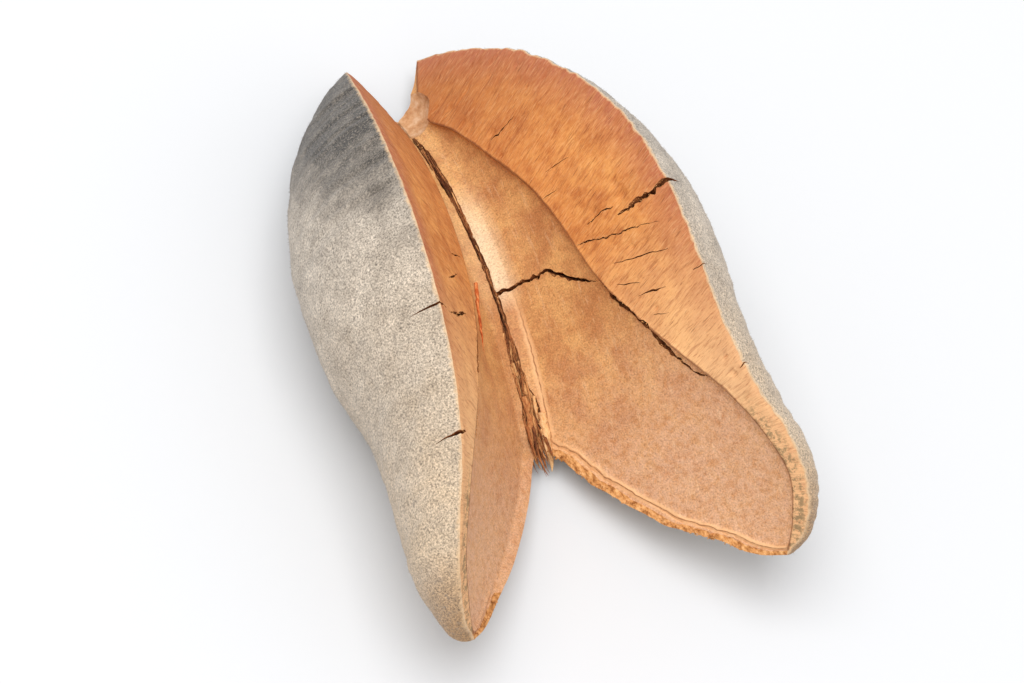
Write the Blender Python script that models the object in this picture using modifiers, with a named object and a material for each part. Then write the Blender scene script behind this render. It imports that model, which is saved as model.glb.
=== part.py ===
# Woody pear pod: a dried seed case that has split into two thick valves, still joined along the back.
# It lies on its back with the split open to +Z and the stem end towards +Y.
import math

import bmesh
import bpy
import numpy as np
from mathutils import Euler, Vector

MM = 0.001

# How the valves stand. Lengths are in millimetres and angles in degrees, here and below.
HALF_OPENING = 32.7       # from the plane of symmetry to each split face
BOW_RADIUS = 80.0         # drying has bowed each face back along its length
BOW_CENTRE = -3.5         # place along the pod where the two faces come closest
FACE_SETBACK = 0.56       # how far each face stands back from the hinge line there

# How the pod rests: turned a little onto its bowed back, with small flat spots where it touches
REST_PITCH = 3.2
HINGE_ALONG = 9.56
HINGE_HEIGHT = 10.6
FLOOR_CUT_SIZE = 120.0

# Edges drawn on a face as (along the pod, up from the hinge), from stem corner to tip
VENTRAL_RIM = (
    (32.1, -4.3), (29.6, 2.3), (23.9, 11.9), (17.3, 18.9), (10.2, 24.2), (2.3, 28.0), (-7.4, 29.7),
    (-16.6, 29.2), (-26.2, 27.5), (-33.6, 26.9), (-40.5, 26.8), (-45.9, 24.7), (-49.9, 20.9), (-51.4, 16.2),
)
# The seed's bed reaches farther up on the right valve than on the left one
SEED_EDGE_RIGHT = (
    (32.1, -4.3), (28.3, -4.5), (24.8, -4.7), (21.6, -3.2), (18.1, 0.4), (11.7, 5.1), (4.4, 9.7), (-2.1, 12.3),
    (-11.7, 14.4), (-18.5, 16.9), (-25.1, 19.8), (-32.0, 22.7), (-38.0, 23.9), (-43.8, 23.5), (-48.5, 19.8),
    (-51.4, 16.2),
)
SEED_EDGE_LEFT = (
    (32.1, -4.3), (28.3, -4.6), (24.8, -5.0), (21.6, -4.6), (17.6, -1.9), (11.0, 2.2), (3.8, 6.2), (-2.8, 9.2),
    (-8.6, 11.4), (-13.8, 13.6), (-19.4, 16.3), (-25.4, 19.3), (-32.0, 22.3), (-38.0, 23.7), (-43.8, 23.3),
    (-48.5, 19.8), (-51.4, 16.2),
)
# The back edge runs past the plane of symmetry where the valves are still joined
DORSAL_RIM = (
    (32.1, -4.3), (30.2, -4.7), (28.4, -5.3), (26.6, -6.8), (24.8, -8.8), (20.5, -9.6), (10.0, -6.8),
    (-2.0, -5.4), (-12.0, -5.8), (-20.0, -7.2), (-24.6, -6.0), (-28.5, -3.4), (-33.0, -1.2), (-37.4, 1.6),
    (-42.2, 5.3), (-46.0, 9.2), (-49.5, 12.6), (-51.4, 16.2),
)

# Depth of the valve behind its face, against the share of the rim's length from stem to tip
DEPTH = (
    (0.0, 0.0), (0.05, 3.7), (0.14, 10.5), (0.26, 16.9), (0.40, 20.8), (0.54, 20.5), (0.66, 16.1), (0.77, 12.6),
    (0.87, 8.5), (0.95, 4.0), (1.0, 0.0),
)
# How far the flank swells past the rim, against the same share
FLANK_SWELL = ((0.0, 0.0), (0.15, -1.6), (0.40, -0.4), (0.62, 0.8), (0.80, 1.6), (0.93, 0.4), (1.0, 0.0))
ROUNDNESS = 1.9           # power of the superellipse that each cross section follows

SEED_STEP = 1.0           # drop from the wood to the seed's bed
SEED_STEP_WIDTH = 0.7
SEED_DISH = 0.8           # further hollow in the middle of the bed
LINING_LIP = 1.6          # width of the raised lip along the back edge of the bed
NARROW_BED = 7.0          # the bed is shallower where it is narrower than this

HINGE_CLEAR = 0.3         # the lining stops this far from the plane of symmetry
BACK_EDGE = 0.5           # thickness of the wall left outside the lining
FULL_DEPTH = 9.0          # the bed has its full drop where the valve is at least this deep

# Faces along the valve, across its wood, its bed and its back
STATIONS = 47
WOOD_STEPS = 5
BED_STEPS = 7
BACK_STEPS = 19

# The dark gap between the two linings, along the hinge
GAP_WIDTH = 1.0
GAP_DEPTH = 2.2
GAP_FROM = 20.5
GAP_TO = -24.0
GAP_STEPS = 14

# Stalk scar: an oval hollow at the foot of the notch between the stem corners
SCAR_RADIUS = 3.5
SCAR_HALF_LENGTH = 4.3
SCAR_CENTRE = (0.0, 25.0, -7.0)

# Drying cracks: points along each as (along, up, width of the mouth)
CRACKS = {
    "crack_right_rim": {"side": 1, "depth": 3.4, "path": (
        (-6.2, 31.4, 1.1), (-6.5, 28.6, 1.0), (-6.6, 25.4, 0.8), (-6.8, 21.4, 0.5), (-6.2, 19.0, 0.1))},
    "crack_right_wood": {"side": 1, "depth": 1.6, "path": (
        (-6.9, 14.1, 0.2), (-8.0, 17.8, 0.6), (-9.1, 22.2, 0.5), (-10.4, 26.1, 0.1))},
    "crack_right_bed": {"side": 1, "depth": 3.8, "path": (
        (-5.9, -0.4, 0.4), (-6.2, 2.5, 0.8), (-6.4, 6.0, 1.1), (-8.6, 9.1, 0.9), (-10.6, 11.4, 0.5),
        (-11.6, 13.0, 0.1))},
    "crack_right_bed_edge": {"side": 1, "depth": 3.0, "path": (
        (-12.6, 14.5, 0.2), (-15.5, 15.3, 0.8), (-19.5, 17.2, 0.9), (-23.2, 18.4, 0.8), (-28.7, 20.6, 0.5),
        (-33.5, 23.2, 0.1))},
    "crack_left_rim": {"side": -1, "depth": 4.6, "path": (
        (-16.4, 31.6, 0.9), (-15.8, 28.0, 0.8), (-15.4, 25.0, 0.6), (-14.8, 21.6, 0.5), (-13.8, 18.3, 0.1))},
    "crack_left_waist": {"side": -1, "depth": 4.6, "path": (
        (-31.4, 30.4, 1.2), (-30.6, 27.8, 1.0), (-30.2, 25.6, 0.2))},
}
CRACK_LIFT = 1.0          # the cutting wedge starts this far above the face

# Torn fibres at the lower end of the hinge: root, tip, root radius
SPLINTERS = (
    ((1.5, -22.0, -5.0), (0.9, -28.9, -7.2), 0.8),
    ((-0.9, -20.5, -4.6), (-1.2, -27.0, -7.0), 0.65),
    ((0.4, -20.4, -7.6), (0.1, -26.4, -8.0), 0.7),
    ((-2.2, -22.6, -6.0), (-2.6, -26.6, -7.8), 0.55),
)
SPLINTER_SIDES = 6
SPLINTER_STEPS = 4
SPLINTER_BEND = 0.5       # sideways sag at mid length

WOOD_COLOUR = (0.50, 0.24, 0.10, 1.0)


def clear_scene():
    for item in list(bpy.data.objects):
        bpy.data.objects.remove(item, do_unlink=True)


def new_collection(name):
    collection = bpy.data.collections.new(name)
    bpy.context.scene.collection.children.link(collection)
    return collection


def catmull_rom(points, steps=16):
    # Dense points on a smooth curve through the given ones
    p = np.array(points, dtype=float)
    p = np.vstack([2 * p[0] - p[1], p, 2 * p[-1] - p[-2]])
    t = np.arange(steps)[:, None] / steps
    spans = []
    for a, b, c, d in zip(p[:-3], p[1:-2], p[2:-1], p[3:]):
        spans.append(0.5 * (2 * b + (c - a) * t + (2 * a - 5 * b + 4 * c - d) * t ** 2
                            + (3 * b - a - 3 * c + d) * t ** 3))
    return np.vstack(spans + [p[-2:-1]])


def shares(count):
    # Shares of the rim's length, closer together at both ends
    return 0.5 - 0.5 * np.cos(np.linspace(0.0, math.pi, count))


def along_curve(points, share):
    curve = catmull_rom(points)
    length = np.concatenate([[0.0], np.cumsum(np.linalg.norm(np.diff(curve, axis=0), axis=1))])
    return np.stack([np.interp(share * length[-1], length, curve[:, k]) for k in range(2)], axis=1)


def profile(points, share):
    # Smooth value against share, spaced by angle so that the ends come out round
    spread = [(math.acos(1 - 2 * s), value) for s, value in points]
    curve = catmull_rom(spread)
    return np.interp(np.arccos(1 - 2 * share), curve[:, 0], curve[:, 1])


def place(along, up, out, side=1):
    # Valve coordinates to the hinge frame: out is the height above the bowed face
    opening = math.radians(HALF_OPENING)
    out = out - FACE_SETBACK - (along - BOW_CENTRE) ** 2 / (2 * BOW_RADIUS)
    x = up * math.sin(opening) - out * math.cos(opening)
    z = up * math.cos(opening) + out * math.sin(opening)
    return np.stack([side * x, along + 0 * x, z], axis=-1)


def hinge_crossing(start, end):
    # Share of the way from the seed's edge to the back edge at which the face meets its neighbour
    t = np.linspace(0.0, 1.0, 60)[:, None]
    line = start * (1 - t) + end * t
    from_plane = place(line[:, 0], line[:, 1], 0.0)[:, 0] - HINGE_CLEAR
    beyond = np.nonzero(from_plane < 0)[0]
    last = 1.0 - BACK_EDGE / max(np.linalg.norm(end - start), 2 * BACK_EDGE)
    return min(last, t[beyond[0], 0]) if len(beyond) else last


def bed_drop(position, breadth, room):
    # How far the seed's bed lies below the wood, across the bed
    step = np.clip(position / SEED_STEP_WIDTH, 0.0, 1.0)
    lip = np.clip((breadth - position) / LINING_LIP, 0.0, 1.0)
    middle = np.sin(np.pi * np.clip(position / breadth, 0.0, 1.0))
    room = room * min(1.0, breadth / NARROW_BED)
    return room * lip * (SEED_STEP * step + SEED_DISH * middle)


def face_points(rim, edge, back, depth):
    # The wood from the rim to the seed's bed, then the bed down to the back edge
    wood = np.linspace(0.0, 1.0, WOOD_STEPS + 1)[:, None]
    points = rim * (1 - wood) + edge * wood
    drops = np.zeros(len(points))
    crossing = hinge_crossing(edge, back)
    length = np.linalg.norm(back - edge)
    first = min(0.3, SEED_STEP_WIDTH / (length * crossing))
    across = np.concatenate([np.linspace(first, 1.0, BED_STEPS) * crossing, [1.0]])[:, None]
    room = min(1.0, depth / FULL_DEPTH)
    bed = edge * (1 - across) + back * across
    fall = bed_drop(across[:, 0] * length, crossing * length, room)
    return np.vstack([points, bed]), np.concatenate([drops, -fall])


def back_points(rim, back, depth, swell):
    # The rounded outside, from the back edge around to the rim
    angle = np.linspace(math.pi, 0.0, BACK_STEPS + 1)[1:-1]
    side = np.sign(np.cos(angle)) * np.abs(np.cos(angle)) ** (2 / ROUNDNESS)
    share = (0.5 - 0.5 * side)[:, None]
    points = rim * (1 - share) + back * share
    outward = (rim - back) / max(np.linalg.norm(rim - back), 1e-6)
    points = points + outward * (swell * np.sin(angle)[:, None] * (1 - share))
    return points, -depth * np.sin(angle) ** (2 / ROUNDNESS)


def valve_rings(side):
    share = shares(STATIONS)[1:-1]
    rims = along_curve(VENTRAL_RIM, share)
    edges = along_curve(SEED_EDGE_RIGHT if side > 0 else SEED_EDGE_LEFT, share)
    backs = along_curve(DORSAL_RIM, share)
    depths = profile(DEPTH, share)
    swells = profile(FLANK_SWELL, share)
    rings = []
    for rim, edge, back, depth, swell in zip(rims, edges, backs, depths, swells):
        face, fall = face_points(rim, edge, back, depth)
        dome, drop = back_points(rim, back, depth, swell)
        points = np.vstack([face, dome])
        rings.append(place(points[:, 0], points[:, 1], np.concatenate([fall, drop]), side))
    return rings


def mesh_from_rings(name, rings, first=None, last=None):
    # A skin over the rings, closed at each end on a point or with a flat cap
    bm = bmesh.new()
    loops = [[bm.verts.new(Vector(point) * MM) for point in ring] for ring in rings]
    count = len(loops[0])
    for a, b in zip(loops[:-1], loops[1:]):
        for k in range(count):
            bm.faces.new((a[k], a[(k + 1) % count], b[(k + 1) % count], b[k]))
    for loop, pole in ((loops[0], first), (loops[-1], last)):
        if pole is None:
            bm.faces.new(loop)
            continue
        tip = bm.verts.new(Vector(pole) * MM)
        for k in range(count):
            bm.faces.new((loop[k], loop[(k + 1) % count], tip))
    bmesh.ops.recalc_face_normals(bm, faces=bm.faces)
    mesh = bpy.data.meshes.new(name)
    bm.to_mesh(mesh)
    bm.free()
    return mesh


def add_object(name, mesh, collection, parent=None):
    item = bpy.data.objects.new(name, mesh)
    collection.objects.link(item)
    item.parent = parent
    return item


def make_cutter(item):
    item.hide_render = True
    item.display_type = "WIRE"
    return item


def join_or_cut(body, tool, operation):
    boolean = body.modifiers.new(tool.name, "BOOLEAN")
    boolean.operation = operation
    boolean.solver = "EXACT"
    boolean.object = tool


def make_valve(name, side, collection, parent):
    corner = place(*VENTRAL_RIM[0], 0.0, side)
    tip = place(*VENTRAL_RIM[-1], 0.0, side)
    return add_object(name, mesh_from_rings(name, valve_rings(side), corner, tip), collection, parent)


def make_gap(collection, parent):
    # A ribbon that follows the hinge line, given the gap's width by Solidify
    along = np.linspace(GAP_FROM, GAP_TO, GAP_STEPS)
    bow = FACE_SETBACK + (along - BOW_CENTRE) ** 2 / (2 * BOW_RADIUS)
    hinge = -bow / math.sin(math.radians(HALF_OPENING))
    bm = bmesh.new()
    previous = None
    for y, z in zip(along, hinge):
        low = bm.verts.new(Vector((0.0, y, z - GAP_DEPTH)) * MM)
        high = bm.verts.new(Vector((0.0, y, z + GAP_DEPTH)) * MM)
        if previous:
            bm.faces.new((previous[0], low, high, previous[1]))
        previous = (low, high)
    mesh = bpy.data.meshes.new("hinge_gap")
    bm.to_mesh(mesh)
    bm.free()
    gap = make_cutter(add_object("hinge_gap", mesh, collection, parent))
    thickness = gap.modifiers.new("Width", "SOLIDIFY")
    thickness.thickness = GAP_WIDTH * MM
    thickness.offset = 0.0
    return gap


def make_scar(collection, parent):
    bm = bmesh.new()
    bmesh.ops.create_uvsphere(bm, u_segments=16, v_segments=10, radius=SCAR_RADIUS * MM)
    mesh = bpy.data.meshes.new("stalk_scar")
    bm.to_mesh(mesh)
    bm.free()
    scar = make_cutter(add_object("stalk_scar", mesh, collection, parent))
    scar.location = Vector(SCAR_CENTRE) * MM
    scar.scale.y = SCAR_HALF_LENGTH / SCAR_RADIUS
    return scar


def make_crack(name, crack, collection, parent):
    # A wedge along the crack's path: a narrow mouth above the face and an edge below it
    path = np.array([point[:2] for point in crack["path"]])
    widths = [point[2] for point in crack["path"]]
    run = np.gradient(path, axis=0)
    rings = []
    for (along, up), (da, du), width in zip(path, run, widths):
        across = np.array([-du, da]) / math.hypot(da, du) * width / 2
        left = place(along + across[0], up + across[1], CRACK_LIFT, crack["side"])
        right = place(along - across[0], up - across[1], CRACK_LIFT, crack["side"])
        foot = place(along, up, -crack["depth"], crack["side"])
        rings.append((left, right, foot))
    return make_cutter(add_object(name, mesh_from_rings(name, rings), collection, parent))


def make_splinter(name, root, tip, radius, collection, parent):
    # A torn fibre: a slim tapered rod that sags a little between its root and its tip
    root, tip = Vector(root), Vector(tip)
    turn = (tip - root).to_track_quat("Z", "X")
    rings = []
    for step in range(SPLINTER_STEPS):
        share = step / SPLINTER_STEPS
        centre = root.lerp(tip, share) + Vector((0, 0, -SPLINTER_BEND * math.sin(math.pi * share)))
        width = radius * (1 - share ** 1.5)
        corners = [Vector((math.cos(a), 0.6 * math.sin(a), 0)) * width
                   for a in np.linspace(0, math.tau, SPLINTER_SIDES, endpoint=False)]
        rings.append([tuple(centre + turn @ corner) for corner in corners])
    return make_cutter(add_object(name, mesh_from_rings(name, rings, None, tuple(tip)), collection, parent))


def make_floor_cut(collection):
    bm = bmesh.new()
    bmesh.ops.create_cube(bm, size=FLOOR_CUT_SIZE * MM)
    mesh = bpy.data.meshes.new("floor_cut")
    bm.to_mesh(mesh)
    bm.free()
    floor = make_cutter(add_object("floor_cut", mesh, collection))
    floor.location.z = -FLOOR_CUT_SIZE * MM / 2
    return floor


def wood_material():
    material = bpy.data.materials.new("woody_fruit_wall")
    material.use_nodes = True
    shader = material.node_tree.nodes["Principled BSDF"]
    shader.inputs["Base Color"].default_value = WOOD_COLOUR
    shader.inputs["Roughness"].default_value = 0.85
    shader.inputs["Metallic"].default_value = 0.0
    return material


def main():
    clear_scene()
    parts = new_collection("woody_pear_pod")
    cutters = new_collection("cutters")
    rest = add_object("rest_pose", None, parts)
    rest.rotation_euler = Euler((math.radians(REST_PITCH), 0.0, 0.0))
    rest.location = Vector((0.0, HINGE_ALONG, HINGE_HEIGHT)) * MM
    pod = make_valve("pod", 1, parts, rest)
    join_or_cut(pod, make_cutter(make_valve("left_valve", -1, cutters, rest)), "UNION")
    join_or_cut(pod, make_gap(cutters, rest), "DIFFERENCE")
    join_or_cut(pod, make_scar(cutters, rest), "DIFFERENCE")
    for name, crack in CRACKS.items():
        join_or_cut(pod, make_crack(name, crack, cutters, rest), "DIFFERENCE")
    for number, (root, tip, radius) in enumerate(SPLINTERS, start=1):
        join_or_cut(pod, make_splinter(f"splinter_{number}", root, tip, radius, cutters, rest), "UNION")
    join_or_cut(pod, make_floor_cut(cutters), "DIFFERENCE")
    pod.data.materials.append(wood_material())
    pod.data.shade_smooth()
    pod.data.set_sharp_from_angle(angle=math.radians(35))


main()
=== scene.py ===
# Woody pear pod, dry and split open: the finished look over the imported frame.
# Lengths in the dictionaries are millimetres. The mesh code turns them to metres.
import math

import bmesh
import bpy
import numpy as np
from mathutils import Matrix, Vector


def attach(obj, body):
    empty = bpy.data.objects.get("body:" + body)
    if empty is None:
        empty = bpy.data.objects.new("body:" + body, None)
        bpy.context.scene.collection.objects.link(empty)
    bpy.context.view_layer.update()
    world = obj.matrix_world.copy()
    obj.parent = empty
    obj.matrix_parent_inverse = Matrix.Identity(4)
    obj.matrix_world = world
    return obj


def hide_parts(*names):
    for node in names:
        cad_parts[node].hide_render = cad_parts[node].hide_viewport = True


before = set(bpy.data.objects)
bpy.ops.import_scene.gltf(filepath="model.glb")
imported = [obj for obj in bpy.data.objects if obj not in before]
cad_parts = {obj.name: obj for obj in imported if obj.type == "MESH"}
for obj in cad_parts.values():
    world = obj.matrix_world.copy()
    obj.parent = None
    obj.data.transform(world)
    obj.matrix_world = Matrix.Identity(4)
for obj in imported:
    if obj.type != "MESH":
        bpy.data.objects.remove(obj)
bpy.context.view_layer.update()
mm = 0.001

# The camera stands where the photographer stood: high over the left valve, with the picture tilted
viewPoint = {
    "aim": (-2.59, -5.88, 15.0),
    "distance": 460.13,
    "azimuth": -43.30,
    "elevation": 58.48,
    "roll": 25.31,
    "lens": 129.2,
    "sensor": 36.0,
}

studio = {
    "floorSize": 3000.0,
    "floorColour": "#d3d4d6",
    "keySize": 1100.0,
    "keyDistance": 1300.0,
    "keyPower": 16.0,
    "keySide": (0.02, 0.45, 0.90),      # towards the right of the picture, its top, and the camera
    "skyColour": "#ffffff",
    "skyStrength": 0.8,
}

# How the two valves stand, and the curves that bound their faces as (along the pod, up from the hinge)
valve = {
    "halfOpening": 32.7,
    "bowRadius": 80.0,
    "bowCentre": -3.5,
    "setback": 0.56,
    "pitch": 3.2,
    "hingeAlong": 9.56,
    "hingeHeight": 10.6,
    "rim": (
        (32.1, -4.3), (29.6, 2.3), (23.9, 11.9), (17.3, 18.9), (10.2, 24.2), (2.3, 28.0),
        (-7.4, 29.7), (-16.6, 29.2), (-26.2, 27.5), (-33.6, 26.9), (-40.5, 26.8), (-45.9, 24.7),
        (-49.9, 20.9), (-51.4, 16.2)),
    "seedEdgeRight": (
        (32.1, -4.3), (28.3, -4.5), (24.8, -4.7), (21.6, -3.2), (18.1, 0.4), (11.7, 5.1),
        (4.4, 9.7), (-2.1, 12.3), (-11.7, 14.4), (-18.5, 16.9), (-25.1, 19.8), (-32.0, 22.7),
        (-38.0, 23.9), (-43.8, 23.5), (-48.5, 19.8), (-51.4, 16.2)),
    "seedEdgeLeft": (
        (32.1, -4.3), (28.3, -4.6), (24.8, -5.0), (21.6, -4.6), (17.6, -1.9), (11.0, 2.2),
        (3.8, 6.2), (-2.8, 9.2), (-8.6, 11.4), (-13.8, 13.6), (-19.4, 16.3), (-25.4, 19.3),
        (-32.0, 22.3), (-38.0, 23.7), (-43.8, 23.3), (-48.5, 19.8), (-51.4, 16.2)),
    "backEdge": (
        (32.1, -4.3), (30.2, -4.7), (28.4, -5.3), (26.6, -6.8), (24.8, -8.8), (20.5, -9.6),
        (10.0, -6.8), (-2.0, -5.4), (-12.0, -5.8), (-20.0, -7.2), (-24.6, -6.0), (-28.5, -3.4),
        (-33.0, -1.2), (-37.4, 1.6), (-42.2, 5.3), (-46.0, 9.2), (-49.5, 12.6), (-51.4, 16.2)),
    "depth": (
        (0.0, 0.0), (0.05, 3.7), (0.14, 10.5), (0.26, 16.9), (0.40, 20.8), (0.54, 20.5), (0.66, 16.1),
        (0.77, 12.6), (0.87, 8.5), (0.95, 4.0), (1.0, 0.0)),
    "swellLeft": ((0.0, 0.0), (0.15, -1.6), (0.40, -0.4), (0.62, 0.8), (0.80, 1.6), (0.93, 0.4),
                  (1.0, 0.0)),
    "swellRight": ((0.0, 0.0), (0.15, -2.6), (0.40, -2.3), (0.62, 0.3), (0.80, 1.5), (0.93, 0.4),
                   (1.0, 0.0)),
    "roundness": 1.9,
    "hingeClear": 0.3,
    "fullDepth": 9.0,
    "narrowBed": 7.0,
    "stations": 372,
    "woodColumns": 44,
    "bedColumns": 58,
    "skinColumns": 126,
}

# Relief of the split wood, the seed's bed and the felted skin
relief = {
    "bedStep": 1.0,
    "bedStepWidth": 0.55,
    "bedDish": 0.8,
    "lipWidth": 1.6,
    "brokenRim": 1.3,         # width of the crumbled band outside the lining, where the valve is free
    "fibreHeight": 0.10,
    "fibreSpacing": 0.75,
    "fibreLength": 5.0,
    "woodWave": 0.14,
    "pitDepth": 0.30,
    "skinLump": 0.16,
    "skinGrain": 0.05,
    "wrinkle": 0.16,
}


def smoothNoise(points, size, seed):
    # Value noise between -1 and 1, one lattice cell to each size
    spot = np.asarray(points, float) / size + seed * 17.31
    cell = np.floor(spot).astype(np.int64)
    part = spot - cell
    part = part * part * (3 - 2 * part)
    total = np.zeros(spot.shape[:-1])
    for corner in np.ndindex(2, 2, 2):
        at = cell + corner
        mixed = at[..., 0] * 374761393 + at[..., 1] * 668265263 + at[..., 2] * 1274126177 + seed * 9973
        mixed = mixed & 0x7FFFFFFF
        mixed = ((mixed ^ (mixed >> 13)) * 1103515245 + 12345) & 0x7FFFFFFF
        value = ((mixed ^ (mixed >> 16)) & 0xFFFF) / 32767.5 - 1
        total += value * np.prod(np.where(corner, part, 1 - part), axis=-1)
    return total


def flatNoise(u, v, sizeU, sizeV, seed):
    # The same noise on two coordinates with a size for each
    spot = np.stack([u / sizeU, v / sizeV, 0 * u], axis=-1)
    return smoothNoise(spot, 1.0, seed)


def rise(value, start, end):
    # Smooth step from 0 at start to 1 at end
    share = np.clip((value - start) / (end - start), 0.0, 1.0)
    return share * share * (3 - 2 * share)


def smoothCurve(points, steps=16):
    p = np.array(points, dtype=float)
    p = np.vstack([2 * p[0] - p[1], p, 2 * p[-1] - p[-2]])
    t = np.arange(steps)[:, None] / steps
    spans = []
    for a, b, c, d in zip(p[:-3], p[1:-2], p[2:-1], p[3:]):
        spans.append(0.5 * (2 * b + (c - a) * t + (2 * a - 5 * b + 4 * c - d) * t ** 2
                            + (3 * b - a - 3 * c + d) * t ** 3))
    return np.vstack(spans + [p[-2:-1]])


def arcLengths(curve):
    return np.concatenate([[0.0], np.cumsum(np.linalg.norm(np.diff(curve, axis=0), axis=1))])


def alongCurve(points, share):
    curve = smoothCurve(points)
    length = arcLengths(curve)
    return np.stack([np.interp(share * length[-1], length, curve[:, k])
                     for k in range(curve.shape[1])], axis=1)


def profileAt(points, share):
    # Smooth value against share, spaced by angle so that the ends come out round
    curve = smoothCurve([(math.acos(1 - 2 * s), value) for s, value in points])
    return np.interp(np.arccos(1 - 2 * share), curve[:, 0], curve[:, 1])


def onFace(along, up, out, side=1):
    # Valve coordinates to the pod at rest: out is the height above the bowed face
    opening = math.radians(valve["halfOpening"])
    pitch = math.radians(valve["pitch"])
    out = out - valve["setback"] - (along - valve["bowCentre"]) ** 2 / (2 * valve["bowRadius"])
    x = side * (up * math.sin(opening) - out * math.cos(opening))
    z = up * math.cos(opening) + out * math.sin(opening)
    y = along * math.cos(pitch) - z * math.sin(pitch) + valve["hingeAlong"]
    z = along * math.sin(pitch) + z * math.cos(pitch) + valve["hingeHeight"]
    return np.stack([x, y + 0 * x, z], axis=-1)


def fromHinge(x, along, z):
    # Across, along and above the line of the hinge, to the pod at rest
    pitch = math.radians(valve["pitch"])
    y = along * math.cos(pitch) - z * math.sin(pitch) + valve["hingeAlong"]
    return np.array((x, y, along * math.sin(pitch) + z * math.cos(pitch) + valve["hingeHeight"]))


def hingeSpot(x, along, lift):
    # The same, measured from where the two bowed faces meet
    bow = valve["setback"] + (along - valve["bowCentre"]) ** 2 / (2 * valve["bowRadius"])
    return fromHinge(x, along, lift - bow / math.sin(math.radians(valve["halfOpening"])))


def stationShares(count):
    # Closer together at both ends, where the valve runs to a point
    even = np.linspace(0.0, 1.0, count)
    return 0.6 * even + 0.4 * (0.5 - 0.5 * np.cos(math.pi * even))


def bedReach(start, end):
    # Share of the way across at which the lining meets its neighbour, or 1 where the valve is free
    t = np.linspace(0.0, 1.0, 120)[:, None]
    line = start * (1 - t) + end * t
    fromPlane = onFace(line[:, 0], line[:, 1], 0.0)[:, 0] - valve["hingeClear"]
    beyond = np.nonzero(fromPlane < 0)[0]
    return t[beyond[0], 0] if len(beyond) else 1.0


def valveGrid(side):
    # Rings of points around the valve, with what the relief and the materials need at each point
    share = stationShares(valve["stations"])[1:-1]
    rims = alongCurve(valve["rim"], share)
    edges = alongCurve(valve["seedEdgeRight" if side > 0 else "seedEdgeLeft"], share)
    backs = alongCurve(valve["backEdge"], share)
    depths = profileAt(valve["depth"], share)
    swells = profileAt(valve["swellRight" if side > 0 else "swellLeft"], share)
    rimArc = share * arcLengths(smoothCurve(valve["rim"]))[-1]
    # the rim is a little ragged, not drawn with a ruler
    ragged = 0.13 * flatNoise(rimArc, 0 * rimArc, 0.9, 1.0, 3)
    ragged = ragged + 0.10 * flatNoise(rimArc, 0 * rimArc, 3.1, 1.0, 4)
    # the free back edge has snapped off in crumbs
    free = rise(-backs[:, 0], 19.0, 25.0) * rise(backs[:, 0], -51.0, -46.0) * (1.0 if side > 0 else 0.2)
    snapped = 0.22 * flatNoise(rimArc, 0 * rimArc, 0.6, 1.0, 5)
    snapped = snapped + 0.26 * flatNoise(rimArc, 0 * rimArc, 1.7, 1.0, 6)
    snapped = (snapped + 0.12) * free
    points = []
    grainV = []
    bedV = []
    seamV = []
    fromBack = []
    falls = []
    for k in range(len(share)):
        rim, edge, back = rims[k], edges[k], backs[k]
        back = back + (edge - back) / max(np.linalg.norm(edge - back), 1e-6) * snapped[k]
        inward = (edge - rim) / max(np.linalg.norm(edge - rim), 1e-6)
        rim = rim + inward * ragged[k] * min(1.0, depths[k] / 4.0)
        woodShare = np.linspace(0.0, 1.0, valve["woodColumns"] + 1)
        wood = rim + (edge - rim) * woodShare[:, None]
        reach = bedReach(edge, back)
        breadth = np.linalg.norm(back - edge)
        lining = np.linspace(0.0, 1.0, valve["bedColumns"])[1:]
        # more columns at the step and at the back edge, where the section bends most
        lining = 0.55 * lining + 0.45 * (0.5 - 0.5 * np.cos(math.pi * lining))
        across = np.append(lining * min(reach, 0.999), 1.0)
        bed = edge + (back - edge) * across[:, None]
        position = across * breadth
        span = max(reach * breadth, 1e-6)
        fromLip = span - position
        room = min(1.0, depths[k] / valve["fullDepth"]) * min(1.0, span / valve["narrowBed"])
        fall = room * np.clip(fromLip / relief["lipWidth"], 0.0, 1.0) * (
            relief["bedStep"] * rise(position, 0.0, relief["bedStepWidth"])
            + relief["bedDish"] * np.sin(math.pi * np.clip(position / span, 0.0, 1.0)))
        angle = np.linspace(math.pi, 0.0, valve["skinColumns"] + 1)[1:-1]
        cosine = np.sign(np.cos(angle)) * np.abs(np.cos(angle)) ** (2 / valve["roundness"])
        toBack = (0.5 - 0.5 * cosine)[:, None]
        skin = rim * (1 - toBack) + back * toBack
        outward = (rim - back) / max(np.linalg.norm(rim - back), 1e-6)
        skin = skin + outward * (swells[k] * np.sin(angle)[:, None] * (1 - toBack))
        sink = depths[k] * np.sin(angle) ** (2 / valve["roundness"])
        ring = np.vstack([wood, bed, skin])
        out = np.concatenate([np.zeros(len(wood)), -fall, -sink])
        points.append(onFace(ring[:, 0], ring[:, 1], out, side))
        woodWidth = np.linalg.norm(edge - rim)
        underside = np.vstack([points[-1][len(wood) + len(bed) - 1:], points[-1][:1]])
        downSkin = np.linalg.norm(np.diff(underside, axis=0), axis=1)
        fromRim = np.cumsum(downSkin[::-1])[::-1][1:]
        grainV.append(np.concatenate([woodShare * woodWidth, woodWidth + position, -fromRim]))
        bedV.append(np.concatenate([span + (1 - woodShare) * woodWidth, fromLip, np.full(len(skin), -5.0)]))
        seamV.append(np.concatenate([(1 - woodShare) * woodWidth, -position, np.full(len(skin), 9.0)]))
        fromBack.append(np.concatenate([breadth + (1 - woodShare) * woodWidth, breadth - position,
                                        np.cumsum(downSkin)[:-1]]))
        falls.append(downSkin.sum())
    return {
        "points": np.array(points),
        "rimArc": rimArc,
        "grainV": np.array(grainV),
        "bedV": np.array(bedV),
        "seamV": np.array(seamV),
        "fromBack": np.array(fromBack),
        "skinTotal": np.array(falls),
        "share": share,
        "depths": depths,
        "along": edges[:, 0],
    }


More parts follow.
